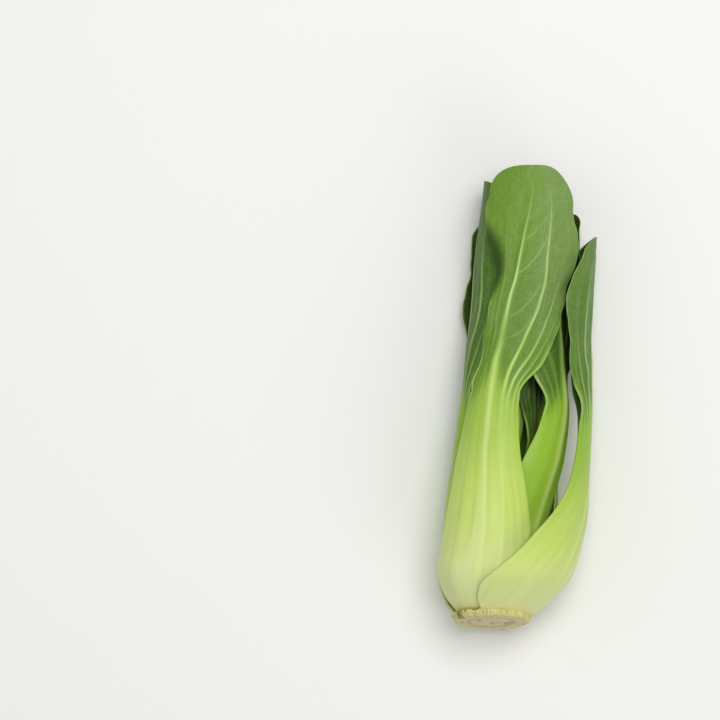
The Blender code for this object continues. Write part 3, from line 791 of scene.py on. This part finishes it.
class Shading:
    """Short ways to build a material's nodes."""

    def __init__(self, name):
        self.material = bpy.data.materials.new(name)
        self.material.use_nodes = True
        self.tree = self.material.node_tree
        self.shader = self.tree.nodes["Principled BSDF"]

    def plug(self, value, socket):
        """Gives a socket a plain value, or links it to another node's output."""
        if isinstance(value, bpy.types.NodeSocket):
            self.tree.links.new(value, socket)
        else:
            socket.default_value = value

    def node(self, kind, inputs, output=0, **settings):
        """The output of a new node."""
        node = self.tree.nodes.new("ShaderNode" + kind)
        for name, value in settings.items():
            setattr(node, name, value)
        for key, value in inputs.items():
            self.plug(value, node.inputs[key])
        return node.outputs[output]

    def attribute(self, name, output="Fac"):
        """One of the mesh's fields."""
        return self.node("Attribute", {}, output, attribute_name=name)

    def math(self, operation, first, second):
        return self.node("Math", {0: first, 1: second}, operation=operation)

    def plus(self, first, second):
        return self.math("ADD", first, second)

    def times(self, first, second):
        return self.math("MULTIPLY", first, second)

    def varied(self, pattern, amount):
        """A pattern that adds as much as it takes away: half the amount at most."""
        return self.times(self.math("SUBTRACT", pattern, 0.5), amount)

    def mix(self, factor, first, second):
        return self.node("Mix", {"Factor": factor, "A": first, "B": second}, "Result", data_type="RGBA")

    def layered(self, base, layers):
        """A colour with others laid over it one after the other, each by its own factor."""
        for factor, tone in layers:
            base = self.mix(factor, base, tone)
        return base

    def spread(self, value, low, high, to_low=0.0, to_high=1.0):
        """Maps a value from one range to another, smoothly and without going past its ends."""
        inputs = dict(enumerate((value, low, high, to_low, to_high)))
        return self.node("MapRange", inputs, "Result", interpolation_type="SMOOTHSTEP")

    def stretched(self, vector, scale):
        return self.node("VectorMath", {0: vector, 1: scale}, operation="MULTIPLY")

    def noise(self, vector, scale, detail=3.0, roughness=0.5):
        inputs = {"Vector": vector, "Scale": scale, "Detail": detail, "Roughness": roughness}
        return self.node("TexNoise", inputs, "Fac")

    def cells(self, vector, scale):
        """Distance to the nearest edge between random cells."""
        inputs = {"Vector": vector, "Scale": scale}
        return self.node("TexVoronoi", inputs, "Distance", feature="DISTANCE_TO_EDGE")

    def warped(self, vector, scale, amount):
        """Places moved about at random, by up to that amount."""
        noise = self.node("TexNoise", {"Vector": vector, "Scale": scale}, "Color")
        inputs = {0: noise, 1: (amount, amount, 0), 2: vector}
        return self.node("VectorMath", inputs, operation="MULTIPLY_ADD")

    def bump(self, height, distance):
        """Bumps of that greatest height, in metres."""
        normal = self.node("Bump", {"Distance": distance, "Height": height}, "Normal")
        self.plug(normal, self.shader.inputs["Normal"])


def leaf_patterns(s):
    """What a leaf's colours are worked out from: its mesh's fields, and random patterns laid along it."""
    fields = ("rise", "share", "long", "branch", "edge", "tone_and_shade", "green", "crease", "wax_and_sheen", "inside")
    place, strand = s.attribute("place", "Vector"), s.attribute("strand", "Vector")
    patterns = {
        "fibres": s.noise(s.stretched(strand, (1.0, 0.02, 1.0)), 0.55, 4.0, 0.55),
        "threads": s.noise(s.stretched(strand, (1.0, 0.015, 1.0)), 2.2, 3.0, 0.6),
        "patches": s.noise(s.stretched(strand, (1.0, 0.16, 1.0)), 0.17, 2.0),
        "mottle": s.noise(place, 0.045, 3.0),
        "grain": s.noise(place, 0.35, 4.0, 0.6),
        "net": s.cells(s.stretched(s.warped(place, 0.25, 2.4), (1.0, 0.62, 1.0)), 0.42),
        "fine_net": s.cells(s.warped(place, 0.6, 1.0), 1.1),
    }
    return SimpleNamespace(**{name: s.attribute(name) for name in fields}, **patterns)


def flesh_colour(s, leaf, colours):
    """Flesh: pale at the foot and green at the neck, with streaks and faded patches, and dry at the cut."""
    upper = s.spread(leaf.rise, 0.1, 0.6, 0.3, 1.0)
    ripe = s.plus(leaf.rise, s.times(leaf.green, 0.6))
    green = s.plus(s.plus(leaf.rise, s.times(leaf.mottle, 0.3)), leaf.green)
    faded = s.times(s.spread(leaf.patches, 0.46, 0.66, 0.0, 0.22), s.spread(ripe, 0.85, 0.35))
    streaks = s.plus(leaf.long, s.spread(leaf.fibres, 0.54, 0.74, 0.0, 0.4))
    # painted shade on the stalks of leaves deep in the head
    painted_inner_shade = s.times(s.spread(leaf.rise, 0.25, 0.75), s.spread(leaf.green, 0.6, 1.2, 0.0, 0.7))
    below = s.times(s.spread(leaf.share, -0.5, -0.02), s.spread(leaf.threads, 0.47, 0.66, 0.0, 0.38))
    dry = s.plus(leaf.rise, s.varied(leaf.grain, 0.1))
    return s.layered(colours.foot, [
        (s.spread(ripe, 0.02, 0.55), colours.flesh),
        (s.spread(green, 0.5, 1.35), colours.neck),
        (faded, colours.pith),
        (s.times(upper, s.spread(leaf.fibres, 0.52, 0.3, 0.0, 0.26)), colours.neck),
        (s.spread(streaks, 0.0, 1.1, 0.0, 0.62), colours.streak),
        (s.times(upper, s.spread(leaf.threads, 0.58, 0.72, 0.0, 0.12)), colours.neck),
        (s.times(upper, s.spread(leaf.inside, 0.5, 1.0, 0.0, 0.25)), colours.neck),
        # painted shade on inner stalks
        (painted_inner_shade, colours.deep),
        (below, colours.neck),
        (s.spread(dry, 0.045, -0.01), colours.rind),
    ])


def tissue_colour(s, leaf, colours):
    """Tissue: green with wax bloom and painted sheen, veins and their net, a pale rim, and painted shade."""
    # wax bloom, with painted sheen where light glances off the blade
    wax_and_sheen_mix = s.times(leaf.wax_and_sheen, s.spread(leaf.share, 0.1, 0.6, 0.3, 1.0))
    wax_and_sheen_mix = s.plus(wax_and_sheen_mix, s.varied(leaf.mottle, 0.6))
    net = s.math("MAXIMUM", s.spread(leaf.net, 0.08, 0.0, 0.0, 0.07),
                 s.spread(leaf.fine_net, 0.1, 0.0, 0.0, 0.02))
    lines = s.math("MAXIMUM", net, s.times(leaf.branch, 0.4))
    lines = s.math("MAXIMUM", lines, s.times(leaf.long, 0.92))
    vein = s.mix(s.spread(leaf.share, 0.42, 0.12), colours.vein, colours.rib)
    rim = s.times(s.spread(leaf.edge, 0.87, 0.96, 0.0, 0.6), s.spread(leaf.share, 0.24, 0.12))
    rim = s.math("MAXIMUM", rim, s.spread(leaf.edge, 0.98, 1.0, 0.0, 0.3))
    return s.layered(colours.tissue, [
        # wax bloom and painted sheen
        (s.spread(wax_and_sheen_mix, 0.1, 0.9), colours.bloom),
        # a deeper green for a low tone, partly painted shade on inner leaves
        (s.spread(leaf.tone_and_shade, 0.0, 1.0, 0.85, 0.0), colours.deep),
        (s.spread(leaf.share, 0.85, 0.35, 0.0, 0.26), colours.deep),
        # painted shade on leaves deep in the head, for a tone below 0
        (s.spread(leaf.tone_and_shade, -1.0, 0.0, 0.9, 0.0), colours.dark),
        (s.spread(leaf.inside, 0.5, 1.0, 0.0, 0.75), colours.dark),
        (s.spread(leaf.grain, 0.42, 0.7, 0.0, 0.1), colours.bloom),
        (s.spread(leaf.fibres, 0.45, 0.7, 0.0, 0.16), colours.bloom),
        (s.spread(leaf.threads, 0.5, 0.72, 0.0, 0.08), colours.vein),
        (lines, vein),
        (rim, vein),
        # painted shade beside a fold
        (s.times(leaf.crease, 0.88), colours.shade),
    ])


def leaf_material(name):
    """Leaf: flesh that turns into tissue at the neck. Stalk and blade share it, so no line parts them."""
    s = Shading(name)
    leaf = leaf_patterns(s)
    age = 1 if name.startswith("heart") else 0
    colours = SimpleNamespace(**{use: colour(*levels[age]) for use, levels in LEAF_COLOURS.items()})
    start = s.plus(leaf.share, s.varied(leaf.threads, 0.3))
    start = s.math("SUBTRACT", start, s.times(leaf.long, 0.16))
    flesh, tissue = flesh_colour(s, leaf, colours), tissue_colour(s, leaf, colours)
    s.plug(s.mix(s.spread(start, -0.12, 0.05), flesh, tissue), s.shader.inputs["Base Color"])

    in_blade = s.spread(leaf.share, -0.1, 0.1)
    dull = s.plus(s.times(in_blade, 0.1), s.times(leaf.grain, 0.12))
    dull = s.math("SUBTRACT", dull, s.times(leaf.inside, 0.08))
    s.plug(s.plus(dull, 0.3), s.shader.inputs["Roughness"])
    s.shader.inputs["Specular IOR Level"].default_value = 0.22

    puckers = s.times(s.math("MINIMUM", leaf.fine_net, 0.25), in_blade)
    strands = s.times(leaf.fibres, s.spread(leaf.rise, 0.1, 0.6, 0.15, 0.6))
    s.bump(s.plus(s.times(puckers, 0.4), strands), 0.00022)
    return s.material


def stem_material():
    """Stem: a dry yellowish frayed rim and a grey-beige cut face with brown spots."""
    s = Shading("stem")
    tones = SimpleNamespace(**{name: colour(*levels) for name, levels in STEM_COLOURS.items()})
    place = s.attribute("place", "Vector")
    fibres = s.noise(place, 0.9, 5.0, 0.65)
    strands = s.noise(s.stretched(place, (1.0, 1.0, 0.15)), 2.0, 4.0, 0.6)
    blotches = s.noise(place, 0.2, 3.0)
    scar = s.times(s.attribute("scar"), s.spread(strands, 0.35, 0.6, 0.35, 1.0))
    face = s.layered(tones.face, [
        (s.spread(fibres, 0.35, 0.7), tones.face_grain),
        (s.spread(blotches, 0.55, 0.7, 0.0, 0.7), tones.face_spot),
        (s.times(s.attribute("bundles"), 0.5), tones.bundle),
    ])
    skin = s.layered(tones.rim, [
        (s.spread(strands, 0.38, 0.64), tones.rim_strand),
        (s.spread(s.attribute("frayed"), 0.2, 0.8, 0.0, 0.35), tones.frayed),
        (s.spread(blotches, 0.58, 0.72, 0.0, 0.6), tones.rim_spot),
        (s.spread(scar, 0.1, 0.8, 0.0, 0.8), tones.scar),
    ])
    s.plug(s.mix(s.attribute("cut"), skin, face), s.shader.inputs["Base Color"])
    s.shader.inputs["Roughness"].default_value = 0.72
    s.bump(s.plus(fibres, strands), 0.0004)
    return s.material


def floor_material():
    """Floor: matt and almost white."""
    s = Shading("floor")
    s.shader.inputs["Base Color"].default_value = FLOOR_COLOUR
    s.shader.inputs["Roughness"].default_value = 0.8
    return s.material


def add_floor():
    """The pale floor that the head lies on."""
    mesh = bpy.data.meshes.new("floor")
    corners = [(x * FLOOR_REACH, y * FLOOR_REACH, 0) for x, y in ((-1, -1), (1, -1), (1, 1), (-1, 1))]
    mesh.from_pydata(corners, [], [(0, 1, 2, 3)])
    mesh.materials.append(floor_material())
    floor = bpy.data.objects.new("floor", mesh)
    bpy.context.scene.collection.objects.link(floor)


def add_lights():
    """Soft round lamps that look at the middle of the floor, and an even pale world."""
    for name, place, size, power, tone in LIGHTS:
        lamp = bpy.data.lights.new(name, "AREA")
        lamp.shape = "DISK"
        lamp.size = size
        lamp.energy = power
        lamp.color = tone
        light = bpy.data.objects.new(name, lamp)
        light.location = place
        light.rotation_euler = (-Vector(place)).to_track_quat("-Z", "Y").to_euler()
        bpy.context.scene.collection.objects.link(light)
    world = bpy.data.worlds.new("studio")
    world.use_nodes = True
    background = world.node_tree.nodes["Background"]
    background.inputs["Color"].default_value = WORLD_COLOUR
    background.inputs["Strength"].default_value = WORLD_STRENGTH
    bpy.context.scene.world = world
    bpy.context.scene.view_settings.view_transform = "Standard"


def add_camera():
    """A camera that looks straight down, with the head's place and size as in the photograph."""
    data = bpy.data.cameras.new("camera")
    data.sensor_width = SENSOR
    data.lens = SENSOR * (CAMERA_HEIGHT - SHARP_HEIGHT) * PIXELS_PER_MM / PHOTO_SIZE
    data.clip_start, data.clip_end = 0.05, 20.0
    right = (PHOTO_SIZE / 2 - CUT_PIXEL[0]) / PIXELS_PER_MM
    up = (CUT_PIXEL[1] - PHOTO_SIZE / 2) / PIXELS_PER_MM
    camera = bpy.data.objects.new("camera", data)
    camera.location = Vector((right, up, CAMERA_HEIGHT)) * METRES + Vector(HEAD_AT)
    bpy.context.scene.collection.objects.link(camera)
    bpy.context.scene.camera = camera


HEAD_AT = head_place()
MATERIALS = {name: leaf_material(name) for name in ("stalk", "blade", "heart_stalk", "heart_blade")}
MATERIALS["stem"] = stem_material()
for order in range(len(LEAVES)):
    add_leaf(order)
add_stem()
add_floor()
add_lights()
add_camera()
